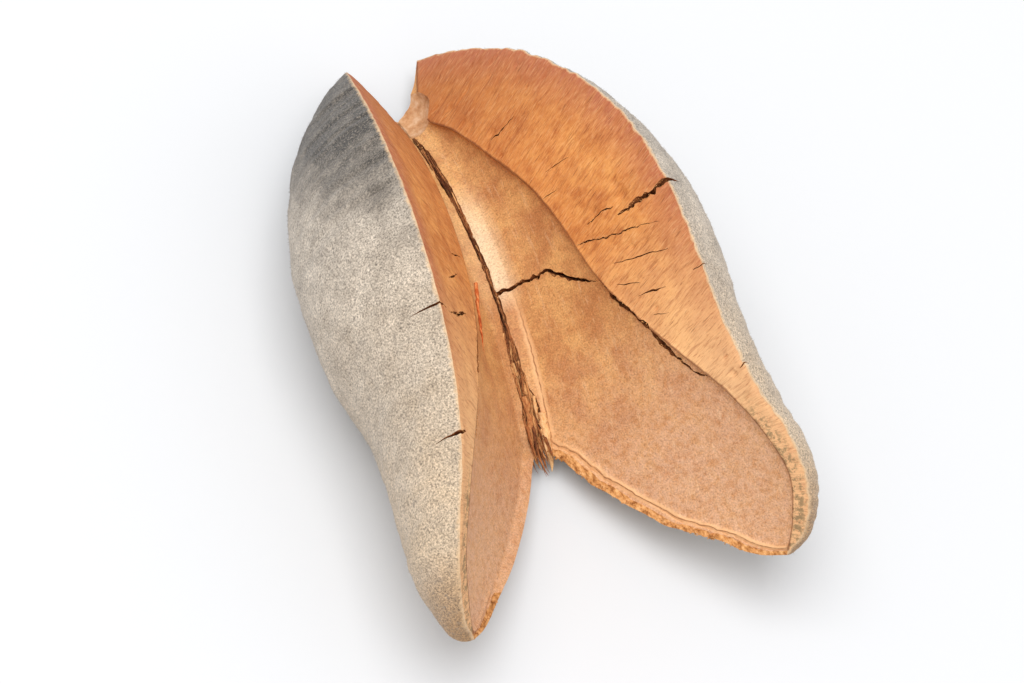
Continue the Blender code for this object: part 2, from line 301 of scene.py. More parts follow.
def gridNormals(points):
    # Outward normals of a tube-like grid whose columns close on themselves
    down = np.gradient(points, axis=0)
    around = np.roll(points, -1, axis=1) - np.roll(points, 1, axis=1)
    normal = np.cross(around, down)
    normal /= np.maximum(np.linalg.norm(normal, axis=-1, keepdims=True), 1e-9)
    centre = points.mean(axis=1, keepdims=True)
    if np.sum(normal * (points - centre)) < 0:
        normal = -normal
    return normal


def reliefHeights(grid, side):
    # Height added to every point along its normal
    wood = valve["woodColumns"] + 1
    bed = wood + valve["bedColumns"]
    points = grid["points"]
    heights = np.zeros(points.shape[:2])
    arc = np.repeat(grid["rimArc"][:, None], points.shape[1], axis=1)
    fromRim = grid["grainV"]
    fromLip = grid["bedV"]
    along = points[:, :, 1] - valve["hingeAlong"]
    seed = 20 if side > 0 else 40

    # the split wood: fibres that run from the rim to the seed's bed, and small torn pits between them
    w = slice(0, wood)
    fibre = flatNoise(arc[:, w], fromRim[:, w], relief["fibreSpacing"], relief["fibreLength"], seed)
    fine = flatNoise(arc[:, w], fromRim[:, w], relief["fibreSpacing"] / 2, relief["fibreLength"] / 2,
                     seed + 1)
    wave = smoothNoise(points[:, w], 3.2, seed + 2)
    pit = rise(flatNoise(arc[:, w], fromRim[:, w], 0.6, 2.4, seed + 3), 0.62, 0.95)
    edgeFade = rise(fromRim[:, w], 0.0, 0.8) * rise(grid["bedV"][:, w] - grid["bedV"][:, wood - 1:wood],
                                                    0.0, 0.6)
    heights[:, w] = edgeFade * (relief["fibreHeight"] * (0.7 * fibre + 0.3 * fine) + relief["woodWave"] * wave
                                - relief["pitDepth"] * pit)
    heights[:, w] -= 0.12 * (1 - rise(fromRim[:, w], 0.0, 0.7))

    # the seed's bed: nearly smooth, with a double lip and a crumbled rim where the valve is free
    b = slice(wood, bed)
    free = rise(-along[:, b], 20.0, 27.0) if side > 0 else rise(-along[:, b], 42.0, 47.0)
    smooth = smoothNoise(points[:, b], 4.5, seed + 4) * 0.10 + smoothNoise(points[:, b], 1.1, seed + 5) * 0.02
    ridge = np.exp(-((fromLip[:, b] - 1.9) / 0.32) ** 2) * 0.24
    groove = np.exp(-((fromLip[:, b] - 1.35) / 0.16) ** 2) * -0.22
    crumbZone = 1 - rise(fromLip[:, b], 0.9, 1.25)
    crumb = smoothNoise(points[:, b], 0.55, seed + 6) * 0.26
    crumb = crumb + smoothNoise(points[:, b], 1.3, seed + 7) * 0.30 - 0.25
    heights[:, b] = smooth * rise(fromLip[:, b], 0.0, 3.0) + free * (ridge + groove + crumbZone * crumb)
    joined = 1 - rise(-along[:, b], 20.0, 27.0)
    ragEdge = 1 - rise(fromLip[:, b], 0.0, 1.2)
    heights[:, b] += joined * ragEdge * smoothNoise(points[:, b], 0.8, seed + 8) * 0.22

    # the felted skin: soft lumps, a fine grain, and creases that gather at the waist
    s = slice(bed, points.shape[1])
    lumps = smoothNoise(points[:, s], 4.0, seed + 9) * relief["skinLump"]
    lumps += smoothNoise(points[:, s], 1.6, seed + 10) * relief["skinLump"] * 0.4
    grain = smoothNoise(points[:, s], 0.7, seed + 11) * relief["skinGrain"]
    waist = np.exp(-((along[:, s] + 33.0) / 9.0) ** 2) * rise(-fromRim[:, s], 2.0, 9.0)
    lean = points[:, s] @ np.array([0.15, 0.95, 0.25])
    crease = -np.abs(flatNoise(lean, -fromRim[:, s], 2.2, 14.0, seed + 12)) * relief["wrinkle"]
    fade = rise(-fromRim[:, s], 0.0, 0.8)
    heights[:, s] = fade * (lumps + grain + waist * crease)
    # no relief at the very back edge or at the two ends, where the wall runs out to nothing
    return heights * rise(grid["fromBack"], 0.05, 1.1) * np.minimum(1.0, grid["depths"] / 2.5)[:, None]


def addMesh(name, verts, faces):
    mesh = bpy.data.meshes.new(name)
    mesh.from_pydata([tuple(v) for v in verts], [], faces)
    item = bpy.data.objects.new(name, mesh)
    bpy.context.scene.collection.objects.link(item)
    return item


def buildValve(name, side):
    grid = valveGrid(side)
    points = grid["points"]
    normals = gridNormals(points)
    points = points + normals * reliefHeights(grid, side)[:, :, None]
    points[:, :, 2] = np.maximum(points[:, :, 2], 0.0)      # worn flat where it stands on the floor
    rows, columns = points.shape[:2]
    stem = onFace(np.array(valve["rim"][0][0]), np.array(valve["rim"][0][1]), 0.0, side)
    tip = onFace(np.array(valve["rim"][-1][0]), np.array(valve["rim"][-1][1]), 0.0, side)
    verts = np.vstack([points.reshape(-1, 3), stem, tip]) * mm
    bedEnd = valve["woodColumns"] + valve["bedColumns"]
    faces = []
    finish = []
    grain = []
    lip = []
    seam = []
    arc = grid["rimArc"]
    grainV = grid["grainV"]
    bedV = grid["bedV"]
    along = points[:, :, 1]

    def corner(i, k, column):
        # on the skin's side of the back edge the distance from the rim is counted round the outside
        v = grainV[i, k]
        if column >= bedEnd and k == bedEnd:
            v = -grid["skinTotal"][i]
        seamV = grid["seamV"][i, k]
        return (arc[i] / 100, v / 100), (along[i, k] / 100, bedV[i, k] / 100), (arc[i] / 100, seamV / 100)

    for i in range(rows - 1):
        for k in range(columns):
            nextK = (k + 1) % columns
            faces.append((i * columns + k, i * columns + nextK, (i + 1) * columns + nextK,
                          (i + 1) * columns + k))
            for row, column in ((i, k), (i, nextK), (i + 1, nextK), (i + 1, k)):
                g, b, e = corner(row, column, k)
                grain.append(g)
                lip.append(b)
                seam.append(e)
            finish.append(faceFinish(k, bedV[i, k], along[i, k] - valve["hingeAlong"], side))
    for row, pole in ((0, rows * columns), (rows - 1, rows * columns + 1)):
        for k in range(columns):
            nextK = (k + 1) % columns
            ring = (row * columns + k, row * columns + nextK, pole)
            faces.append(ring)
            for column in (k, nextK, k):
                g, b, e = corner(row, column, k)
                grain.append(g)
                lip.append(b)
                seam.append(e)
            finish.append(faceFinish(k, bedV[row, k], along[row, k] - valve["hingeAlong"], side))
    item = addMesh(name, verts, faces)
    for label, values in (("grain", grain), ("bed", lip), ("seam", seam)):
        layer = item.data.uv_layers.new(name=label)
        layer.data.foreach_set("uv", np.array(values, dtype=np.float32).ravel())
    item.data.polygons.foreach_set("material_index", np.array(finish, dtype=np.int32))
    bm = bmesh.new()
    bm.from_mesh(item.data)
    bmesh.ops.recalc_face_normals(bm, faces=bm.faces)
    bm.to_mesh(item.data)
    bm.free()
    return item


def faceFinish(column, fromLip, along, side):
    # 0 skin, 1 wood, 2 lining, 3 crumbled rim, which the left valve has only at its tip
    if column < valve["woodColumns"]:
        return 1
    if column < valve["woodColumns"] + valve["bedColumns"]:
        return 3 if along < (-22.0 if side > 0 else -45.0) and fromLip < relief["brokenRim"] - 0.2 else 2
    return 0


# Cracks as (along, up, width of the mouth) on a face, from the widest down to hairlines
cracks = {
    "right": (
        {"depth": 3.4, "path": ((-6.1, 32.0, 0.9), (-6.3, 29.9, 0.8), (-6.5, 28.6, 0.95), (-6.6, 26.7, 0.9),
                                (-6.6, 24.4, 0.75), (-6.7, 22.6, 0.5), (-6.7, 21.0, 0.12))},
        {"depth": 1.6, "path": ((-5.3, 20.9, 0.15), (-5.1, 18.7, 0.45), (-5.4, 16.3, 0.12))},
        {"depth": 1.6, "path": ((-6.9, 13.7, 0.12), (-7.2, 15.4, 0.4), (-7.8, 17.2, 0.3),
                                (-8.5, 19.3, 0.35), (-9.1, 22.2, 0.25), (-10.4, 26.1, 0.08))},
        {"depth": 1.0, "path": ((-11.7, 17.6, 0.08), (-12.6, 21.0, 0.3), (-13.1, 23.0, 0.22),
                                (-13.9, 25.6, 0.08))},
        {"depth": 0.9, "path": ((-14.1, 16.6, 0.08), (-14.8, 18.2, 0.25), (-15.5, 19.8, 0.08))},
        {"depth": 1.0, "path": ((-16.8, 18.5, 0.08), (-17.3, 20.8, 0.32), (-17.8, 22.8, 0.08))},
        {"depth": 0.9, "path": ((-19.8, 19.4, 0.06), (-20.2, 20.4, 0.25), (-20.7, 21.6, 0.06))},
        {"depth": 1.4, "path": ((13.0, 6.3, 0.1), (13.1, 8.1, 0.4), (13.9, 10.9, 0.1))},
        {"depth": 0.8, "path": ((1.1, 11.5, 0.08), (1.1, 12.8, 0.22), (1.1, 14.2, 0.06))},
        {"depth": 0.8, "path": ((4.0, 13.1, 0.06), (4.2, 15.2, 0.2), (4.0, 17.2, 0.06))},
        {"depth": 1.2, "path": ((-30.8, 26.2, 0.1), (-30.6, 27.0, 0.35), (-30.3, 28.2, 0.4))},
        {"depth": 1.0, "path": ((-17.9, 27.4, 0.1), (-17.9, 28.6, 0.3), (-17.8, 30.0, 0.3))},
        {"depth": 5.0, "path": ((-5.9, -0.8, 0.45), (-6.0, 0.2, 0.65), (-6.2, 2.5, 0.95), (-6.4, 5.1, 1.0),
                                (-6.5, 6.6, 1.1), (-7.7, 8.1, 0.85), (-9.6, 10.1, 0.9), (-10.4, 11.2, 0.65),
                                (-11.8, 13.4, 0.12))},
        {"depth": 4.6, "layer": 1, "path": ((-11.6, 14.0, 0.15), (-13.6, 14.6, 0.65), (-15.5, 15.1, 1.05),
                                            (-17.5, 16.3, 1.15), (-19.5, 17.1, 0.9), (-21.3, 17.7, 0.95),
                                            (-23.7, 18.1, 0.8), (-25.2, 18.8, 0.5), (-27.8, 19.8, 0.4),
                                            (-30.5, 21.9, 0.16), (-33.9, 23.2, 0.06))},
    ),
    "left": (
        {"depth": 4.4, "path": ((-15.3, 31.0, 0.65), (-15.2, 29.2, 0.55), (-15.3, 27.6, 0.2),
                                (-15.5, 26.0, 0.12), (-15.3, 24.6, 0.3), (-14.8, 21.6, 0.5),
                                (-13.6, 17.6, 0.1))},
        {"depth": 3.9, "path": ((-31.0, 30.6, 0.85), (-30.5, 28.2, 0.85), (-30.3, 26.6, 0.5),
                                (-30.2, 25.4, 0.1))},
        {"depth": 1.4, "path": ((-9.8, 21.4, 0.1), (-9.2, 19.4, 0.5), (-8.2, 17.0, 0.1))},
        {"depth": 1.2, "path": ((-4.9, 16.0, 0.1), (-4.6, 14.0, 0.45), (-4.3, 11.8, 0.1))},
        {"depth": 2.4, "path": ((-14.6, 14.2, 0.1), (-18.0, 16.0, 0.55), (-21.0, 17.4, 0.6),
                                (-24.6, 18.9, 0.25), (-30.0, 21.0, 0.06))},
    ),
}

crackShape = {
    "step": 0.22, "levels": 6, "lift": 0.9, "raggedness": 0.85, "deepMouth": 0.85, "shallowMouth": 0.55,
}

# The gap between the two linings as (along, across from the plane of symmetry, width)
hingeGap = {
    "path": ((21.5, -0.1, 0.14), (19.6, -0.1, 0.7), (16.3, -0.1, 1.15), (12.4, 0.0, 1.1), (9.0, 0.05, 0.9),
             (4.0, 0.05, 0.8), (-1.0, 0.05, 0.7), (-6.0, 0.0, 0.65), (-11.0, -0.15, 0.95),
             (-15.0, -0.15, 1.5), (-20.0, 0.1, 2.1), (-23.5, 0.3, 2.5), (-26.5, 0.5, 2.8)),
    "depth": 1.9,
    "raggedness": 0.22,
    "step": 0.3,
    "levels": 7,
}

stalkScar = {"radius": 3.5, "halfLength": 4.3, "along": 25.0, "lift": -7.0}


def wedgeRings(spots, widths, depth, levels, lift, raggedness, seed, place):
    # Cross sections of a ragged wedge: left wall down to the foot, then the right wall up again
    rings = []
    down = np.concatenate([[lift], -depth * np.linspace(0.0, 1.0, levels) ** 1.2])
    for k, ((centre, across), width) in enumerate(zip(spots, widths)):
        left = []
        right = []
        for level, out in enumerate(down[:-1]):
            share = 1.0 if out > 0 else 1.0 + out / depth
            for wall, points, way in ((1, left, 1), (2, right, -1)):
                rough = smoothNoise(np.array([[k * 0.37, level * 0.9, 5.0 * wall]]), 1.0, seed)[0]
                half = width / 2 * share * (1 + raggedness * rough)
                points.append(place(centre + across * half * way, out))
        rings.append(np.array(left + [place(centre, down[-1])] + right[::-1]))
    return rings


def closedSkin(name, rings):
    count = len(rings[0])
    faces = [tuple(range(count))[::-1]]
    for i in range(len(rings) - 1):
        for k in range(count):
            nextK = (k + 1) % count
            faces.append((i * count + k, i * count + nextK, (i + 1) * count + nextK, (i + 1) * count + k))
    last = (len(rings) - 1) * count
    faces.append(tuple(range(last, last + count)))
    item = addMesh(name, np.vstack(rings) * mm, faces)
    bm = bmesh.new()
    bm.from_mesh(item.data)
    bmesh.ops.triangulate(bm, faces=[f for f in bm.faces if len(f.verts) > 4])
    bmesh.ops.recalc_face_normals(bm, faces=bm.faces)
    bm.to_mesh(item.data)
    bm.free()
    return item


def crackCutter(name, crack, side, seed):
    path = np.array(crack["path"])
    curve = smoothCurve(path, 12)
    length = arcLengths(curve[:, :2])
    count = max(6, int(length[-1] / crackShape["step"]))
    line = np.stack([np.interp(np.linspace(0, length[-1], count), length, curve[:, k])
                     for k in range(3)], axis=1)
    run = np.gradient(line[:, :2], axis=0)
    run /= np.linalg.norm(run, axis=1, keepdims=True)
    across = np.stack([-run[:, 1], run[:, 0]], axis=1)
    # the crack wanders about its path as it finds its way between the fibres
    number = np.arange(count)
    wander = 0.22 * flatNoise(number * crackShape["step"], 0.0 * number, 1.1, 1.0, seed + 50)
    wander += 0.13 * flatNoise(number * crackShape["step"], 0.0 * number, 0.45, 1.0, seed + 51)
    centres = line[:, :2] + across * (wander * np.minimum(1.0, line[:, 2] / 0.3))[:, None]
    widths = np.maximum(line[:, 2] * crackShape["deepMouth" if crack["depth"] > 2 else "shallowMouth"], 0.03)

    def place(spot, out):
        return onFace(spot[0], spot[1], out, side)

    rings = wedgeRings(zip(centres, across), widths, crack["depth"], crackShape["levels"], crackShape["lift"],
                       crackShape["raggedness"], seed, place)
    return closedSkin(name, rings)


def gapCutter():
    path = smoothCurve(hingeGap["path"], 12)
    length = arcLengths(path[:, :2])
    count = int(length[-1] / hingeGap["step"])
    line = np.stack([np.interp(np.linspace(0, length[-1], count), length, path[:, k])
                     for k in range(3)], axis=1)
    number = np.arange(count) * hingeGap["step"]
    wander = 0.14 * flatNoise(number, 0 * number, 2.2, 1.0, 71)
    wander = wander + 0.08 * flatNoise(number, 0 * number, 0.7, 1.0, 75)
    widths = line[:, 2] * (1 + 0.18 * flatNoise(number, 0 * number, 1.4, 1.0, 72))
    centres = np.stack([line[:, 1] + wander, line[:, 0]], axis=1)
    across = np.tile([1.0, 0.0], (count, 1))

    def place(spot, out):
        return hingeSpot(spot[0], spot[1], out)

    rings = wedgeRings(zip(centres, across), widths, hingeGap["depth"], hingeGap["levels"], 2.4,
                       hingeGap["raggedness"], 73, place)
    return closedSkin("hingeGap", rings)


def scarCutter():
    bm = bmesh.new()
    bmesh.ops.create_icosphere(bm, subdivisions=5, radius=stalkScar["radius"])
    stretch = Vector((1.0, stalkScar["halfLength"] / stalkScar["radius"], 1.0))
    pitch = math.radians(valve["pitch"])
    centre = Vector((0.0, stalkScar["along"] * math.cos(pitch) - stalkScar["lift"] * math.sin(pitch)
                     + valve["hingeAlong"], stalkScar["along"] * math.sin(pitch)
                     + stalkScar["lift"] * math.cos(pitch) + valve["hingeHeight"]))
    for vert in bm.verts:
        here = np.array([vert.co[:]])
        rough = smoothNoise(here, 1.7, 91)[0] * 0.05 + smoothNoise(here, 0.6, 92)[0] * 0.02
        vert.co = (centre + vert.co * stretch * (1 + rough)) * mm
    mesh = bpy.data.meshes.new("stalkScar")
    bm.to_mesh(mesh)
    bm.free()
    item = bpy.data.objects.new("stalkScar", mesh)
    bpy.context.scene.collection.objects.link(item)
    return item


def joinItems(items, name):
    # Several closed shells in one mesh, so that one Boolean cuts them all
    bm = bmesh.new()
    for item in items:
        bm.from_mesh(item.data)
        bpy.data.objects.remove(item, do_unlink=True)
    mesh = bpy.data.meshes.new(name)
    bm.to_mesh(mesh)
    bm.free()
    joined = bpy.data.objects.new(name, mesh)
    bpy.context.scene.collection.objects.link(joined)
    return joined


def applyModifiers(item):
    # The evaluated shape becomes a plain mesh and the modifiers go
    graph = bpy.context.evaluated_depsgraph_get()
    mesh = bpy.data.meshes.new_from_object(item.evaluated_get(graph), preserve_all_data_layers=True,
                                           depsgraph=graph)
    item.modifiers.clear()
    item.data = mesh
    return item


def cutAway(item, cutter):
    cut = item.modifiers.new(cutter.name, "BOOLEAN")
    cut.operation = "DIFFERENCE"
    cut.solver = "EXACT"
    cut.use_self = False
    cut.material_mode = "TRANSFER"
    cut.object = cutter
    applyModifiers(item)
    bpy.data.objects.remove(cutter, do_unlink=True)


def newTree(name, inputs):
    # A geometry tree with a mesh in, a mesh out, and the named inputs
    tree = bpy.data.node_groups.new(name, "GeometryNodeTree")
    tree.interface.new_socket("Geometry", in_out="INPUT", socket_type="NodeSocketGeometry")
    tree.interface.new_socket("Geometry", in_out="OUTPUT", socket_type="NodeSocketGeometry")
    for label, kind in inputs.items():
        tree.interface.new_socket(label, in_out="INPUT", socket_type=f"NodeSocket{kind}")
    return tree, tree.nodes.new("NodeGroupInput").outputs, tree.nodes.new("NodeGroupOutput")


def runTree(item, tree, values):
    modifier = item.modifiers.new(tree.name, "NODES")
    modifier.node_group = tree
    for socket in tree.interface.items_tree:
        if socket.in_out == "INPUT" and socket.name in values:
            modifier[socket.identifier] = values[socket.name]
    applyModifiers(item)
    return item


def finishTree(tree, into, out, shape):
    # Real geometry with the material that the modifier hands in
    real = addNode(tree, "GeometryNodeRealizeInstances", (shape,))
    finish = addNode(tree, "GeometryNodeSetMaterial", {0: real, "Material": into["Finish"]})
    tree.links.new(finish.outputs[0], out.inputs[0])
    return tree


def downTree():
    # Fine down: a tapered hair on every scattered point, leaning at random from the surface
    tree, into, out = newTree("feltDown", {"Density": "Float", "Length": "Float", "Thickness": "Float",
                                           "Lean": "Float", "Seed": "Int", "Finish": "Material"})
    scatter = addNode(tree, "GeometryNodeDistributePointsOnFaces", {
        "Mesh": into["Geometry"], "Density": into["Density"], "Seed": into["Seed"]})
    hair = addNode(tree, "GeometryNodeMeshCone", {
        "Vertices": 3, "Radius Bottom": into["Thickness"], "Depth": into["Length"]}, fill_type="NGON")
    back = addNode(tree, "ShaderNodeMath", (into["Lean"], -1.0), operation="MULTIPLY")
    lowest = addNode(tree, "ShaderNodeCombineXYZ", (back, back, -3.14))
    highest = addNode(tree, "ShaderNodeCombineXYZ", (into["Lean"], into["Lean"], 3.14))
    tilt = addNode(tree, "FunctionNodeRandomValue", {0: lowest, 1: highest, "Seed": into["Seed"]},
                   data_type="FLOAT_VECTOR")
    turn = addNode(tree, "FunctionNodeEulerToRotation", (tilt,))
    lean = addNode(tree, "FunctionNodeRotateRotation", (scatter.outputs["Rotation"], turn),
                   rotation_space="LOCAL")
    grow = addNode(tree, "FunctionNodeRandomValue", {2: 0.45, 3: 1.25, "Seed": into["Seed"]})
    plant = addNode(tree, "GeometryNodeInstanceOnPoints", {
        "Points": scatter, "Instance": hair, "Rotation": lean, "Scale": grow.outputs[1]})
    return finishTree(tree, into, out, plant)


def strandTree():
    # Torn fibres: every edge path becomes a rough tapered rod as thick as its own "thick" attribute
    tree, into, out = newTree("tornStrands", {"Sides": "Int", "Roughness": "Float", "Grain": "Float",
                                              "Finish": "Material"})
    path = addNode(tree, "GeometryNodeMeshToCurve", (into["Geometry"],))
    ring = addNode(tree, "GeometryNodeCurvePrimitiveCircle", {"Resolution": into["Sides"], "Radius": 1.0})
    thick = addNode(tree, "GeometryNodeInputNamedAttribute", {"Name": "thick"}, data_type="FLOAT")
    rod = addNode(tree, "GeometryNodeCurveToMesh", {
        "Curve": path, "Profile Curve": ring, "Scale": thick, "Fill Caps": True})
    spot = addNode(tree, "GeometryNodeInputPosition")
    noise = addNode(tree, "ShaderNodeTexNoise", {"Vector": spot, "Scale": into["Grain"], "Detail": 2.0})
    middle = addNode(tree, "ShaderNodeVectorMath", (noise.outputs["Color"], (0.5, 0.5, 0.5)),
                     operation="SUBTRACT")
    push = addNode(tree, "ShaderNodeVectorMath", {0: middle, 3: into["Roughness"]}, operation="SCALE")
    rough = addNode(tree, "GeometryNodeSetPosition", {0: rod, "Offset": push})
    return finishTree(tree, into, out, rough)


def chipTree():
    # Crumbs: a lumpy little stone of wood on every point, turned and stretched at random
    tree, into, out = newTree("crumbChips", {"Size": "Float", "Seed": "Int", "Finish": "Material"})
    spots = addNode(tree, "GeometryNodeMeshToPoints", (into["Geometry"],))
    stone = addNode(tree, "GeometryNodeMeshIcoSphere", {"Radius": into["Size"], "Subdivisions": 1})
    turn, stretch = (addNode(tree, "FunctionNodeRandomValue", {0: least, 1: most, "Seed": into["Seed"]},
                             data_type="FLOAT_VECTOR") for least, most in (
        ((-3.1, -3.1, -3.1), (3.1, 3.1, 3.1)), ((0.5, 0.4, 0.3), (1.7, 1.0, 0.9))))
    rotate = addNode(tree, "FunctionNodeEulerToRotation", (turn,))
    bulk = addNode(tree, "GeometryNodeInputNamedAttribute", {"Name": "thick"}, data_type="FLOAT")
    size = addNode(tree, "ShaderNodeVectorMath", {0: stretch, 3: bulk}, operation="SCALE")
    drop = addNode(tree, "GeometryNodeInstanceOnPoints", {
        "Points": spots, "Instance": stone, "Rotation": rotate, "Scale": size})
    return finishTree(tree, into, out, drop)


def addPaths(name, paths):
    # Edge paths with a thickness and a tone at every point: (points, thicknesses, tone)
    verts = np.vstack([points for points, thicks, tone in paths]) * mm
    edges = []
    start = 0
    for points, thicks, tone in paths:
        edges += [(start + k, start + k + 1) for k in range(len(points) - 1)]
        start += len(points)
    mesh = bpy.data.meshes.new(name)
    mesh.from_pydata([tuple(v) for v in verts], edges, [])
    thick = mesh.attributes.new("thick", "FLOAT", "POINT")
    thick.data.foreach_set("value", np.concatenate([thicks for points, thicks,
                                                    tone in paths]).astype(np.float32))
    tones = mesh.attributes.new("tone", "FLOAT", "POINT")
    tones.data.foreach_set("value", np.concatenate([np.full(len(points), tone)
                                                    for points, thicks, tone in paths]).astype(np.float32))
    item = bpy.data.objects.new(name, mesh)
    bpy.context.scene.collection.objects.link(item)
    return item


def strand(rng, root, tip, radius, tone, steps=9, sag=0.35, wander=0.06, blunt=2.2):
    # One torn fibre, thickest near its root, that wanders and sags on its way to a split point
    share = np.linspace(0.0, 1.0, steps)[:, None]
    root, tip = np.array(root), np.array(tip)
    side = rng.normal(0.0, wander, 3) * np.linalg.norm(tip - root)
    points = root + (tip - root) * share + side * np.sin(math.pi * share)
    points = points + np.array([0, 0, -sag]) * share ** 2
    points[1:] += rng.normal(0.0, radius * 0.18, (steps - 1, 3))
    taper = (1 - share[:, 0] ** blunt) * (1 + rng.normal(0.0, 0.14, steps))
    return points, np.maximum(taper, 0.06) * radius * mm, tone


# The wall tore apart at the lower end of the hinge: root, tip, radius and tone of the large splinters
splinters = {
    "large": (
        ((1.6, -21.9, -4.2), (1.35, -28.9, -7.2), 0.62, 0.86),
        ((-0.9, -20.5, -4.6), (-1.2, -27.0, -7.0), 0.5, 0.35),
        ((0.4, -20.4, -7.6), (0.1, -26.4, -8.0), 0.55, 0.2),
        ((-2.2, -22.6, -6.0), (-2.6, -26.6, -7.8), 0.45, 0.6),
        ((0.6, -18.0, -3.6), (0.2, -25.4, -6.0), 0.45, 0.55),
        ((-0.3, -19.5, -3.4), (-0.6, -26.0, -6.0), 0.42, 0.45)),
    "lowest": 2.4,            # height above the floor that no fibre goes below
    "count": 210,
    "from": -11.0,
    "to": -24.5,
    "length": (1.6, 6.2),
    "radius": (0.09, 0.24),
    "sides": 6,
    "seed": 11,
}

pith = {"count": 220, "length": (2.0, 6.5), "radius": (0.07, 0.15), "sides": 5, "seed": 23}

crumbs = {
    "rimCount": 260, "rimSize": (0.08, 0.24), "gapCount": 260, "gapSize": (0.06, 0.16),
    "crackEvery": 0.22, "crackSize": (0.05, 0.12), "seed": 31,
}

down = {"density": 2.3, "length": 0.28, "thickness": 0.018, "lean": 0.95, "seed": 7}


def insideGap(rng, along, gap, fill):
    # A spot in the wedge of the gap, low down at its middle and higher against its walls
    middle = np.interp(along, gap[:, 0], gap[:, 1])
    half = np.interp(along, gap[:, 0], gap[:, 2]) / 2
    share = rng.uniform(-1.0, 1.0)
    x = middle + 0.95 * half * share
    floor = -hingeGap["depth"] * (1 - abs(share))
    return x, floor + 0.08 + rng.uniform(0.0, fill) * (1.1 * abs(x) - floor)


def tornFibrePaths():
    rng = np.random.default_rng(splinters["seed"])
    gap = smoothCurve(hingeGap["path"], 12)[::-1]
    paths = [strand(rng, fromHinge(*root), fromHinge(*tip), radius, tone, 14, 0.2, 0.03, 5.0)
             for root, tip, radius, tone in splinters["large"]]
    for number in range(splinters["count"]):
        along = rng.uniform(splinters["to"], splinters["from"])
        length = rng.uniform(*splinters["length"])
        x, lift = insideGap(rng, along, gap, 0.7)
        tone = float(np.clip(rng.normal(0.42, 0.20) + 0.14 * lift, 0.0, 1.0))
        if number % 3 == 0 and along < -17.0:
            # these come out of the broken end, below the gap
            x, lift = rng.uniform(-1.8, 1.9), -rng.uniform(0.8, 3.4)
            tone = rng.uniform(0.1, 0.75)
        lean = np.array([rng.normal(0.0, 0.05), -1.0, -rng.uniform(0.0, 0.22)])
        tip = np.array([x, along, lift]) + lean * length
        ends = [hingeSpot(x, along, lift), hingeSpot(*tip)]
        for spot in ends:
            spot[2] = max(spot[2], splinters["lowest"] + rng.uniform(0.0, 1.5))
        paths.append(strand(rng, *ends, rng.uniform(*splinters["radius"]), tone))
    return paths


def pithPaths():
    rng = np.random.default_rng(pith["seed"])
    gap = smoothCurve(hingeGap["path"], 12)[::-1]
    paths = []
    for number in range(pith["count"]):
        along = rng.uniform(-16.0, 20.5)
        length = rng.uniform(*pith["length"])
        x, lift = insideGap(rng, along, gap, 0.55)
        root = hingeSpot(x, along, lift)
        tip = hingeSpot(x + rng.normal(0.0, 0.06), along - length, lift - rng.uniform(-0.15, 0.25))
        tone = float(np.clip(rng.normal(0.36, 0.16) + 0.1 * lift, 0.0, 1.0))
        paths.append(strand(rng, root, tip, rng.uniform(*pith["radius"]), tone, 9, 0.05, 0.02))
    return paths


def crumbPaths():
    # Loose chips sit on the snapped back edge, beside the gap and along the lips of the wider cracks
    rng = np.random.default_rng(crumbs["seed"])
    paths = []
    back = smoothCurve(valve["backEdge"])[::-1]
    for number in range(crumbs["rimCount"]):
        side = 1 if rng.random() < 0.8 else -1
        along = rng.uniform(-49.0, -22.5) if side > 0 else rng.uniform(-50.5, -46.0)
        up = np.interp(along, back[:, 0], back[:, 1]) + abs(rng.normal(0.25, 0.35))
        spot = onFace(np.array(along), np.array(up), -abs(rng.normal(0.25, 0.15)), side)
        paths.append((spot[None, :], np.array([rng.uniform(*crumbs["rimSize"])]), 0.8))
    gap = smoothCurve(hingeGap["path"], 12)[::-1]
    for number in range(crumbs["gapCount"]):
        along = rng.uniform(-22.0, 20.0)
        width = np.interp(along, gap[:, 0], gap[:, 2])
        x = np.interp(along, gap[:, 0], gap[:, 1]) + rng.choice([-1, 1]) * width * rng.uniform(0.40, 0.58)
        spot = hingeSpot(x, along, abs(x) * 0.62 - rng.uniform(0.05, 0.45))
        paths.append((spot[None, :], np.array([rng.uniform(*crumbs["gapSize"])]), 0.6))
    for label, side in (("right", 1), ("left", -1)):
        for crack in cracks[label]:
            curve = smoothCurve(crack["path"], 12)
            length = arcLengths(curve[:, :2])
            if crack["depth"] < 1.5:
                continue
            for place in np.arange(0.0, length[-1], crumbs["crackEvery"]):
                along, up, width = (np.interp(place, length, curve[:, k]) for k in range(3))
                if up > np.interp(along, rimCurve[:, 0], rimCurve[:, 1]) - 0.4:
                    continue
                shift = rng.choice([-1, 1]) * width * rng.uniform(0.35, 0.6)
                inBed = up < np.interp(along, seedCurves[side][:, 0], seedCurves[side][:, 1]) - 0.5
                sink = bedDepth(along, up, side) if inBed else 0.05
                spot = onFace(np.array(along + shift * 0.6), np.array(up + shift * 0.6), -sink, side)
                paths.append((spot[None, :], np.array([rng.uniform(*crumbs["crackSize"])]), 0.7))
    return paths


rimCurve = smoothCurve(valve["rim"])[::-1]
seedCurves = {1: smoothCurve(valve["seedEdgeRight"])[::-1], -1: smoothCurve(valve["seedEdgeLeft"])[::-1]}


def bedDepth(along, up, side):
    # How far the lining lies below the wood, well inside the seed's bed
    top = np.interp(along, seedCurves[side][:, 0], seedCurves[side][:, 1])
    back = np.interp(along, smoothCurve(valve["backEdge"])[::-1, 0], smoothCurve(valve["backEdge"])[::-1, 1])
    across = (top - up) / max(top - max(back, -1.5), 1e-6)
    lip = np.clip((1 - across) * (top - max(back, -1.5)) / relief["lipWidth"], 0.0, 1.0)
    return lip * (relief["bedStep"] + relief["bedDish"] * math.sin(math.pi * np.clip(across, 0.0, 1.0)))


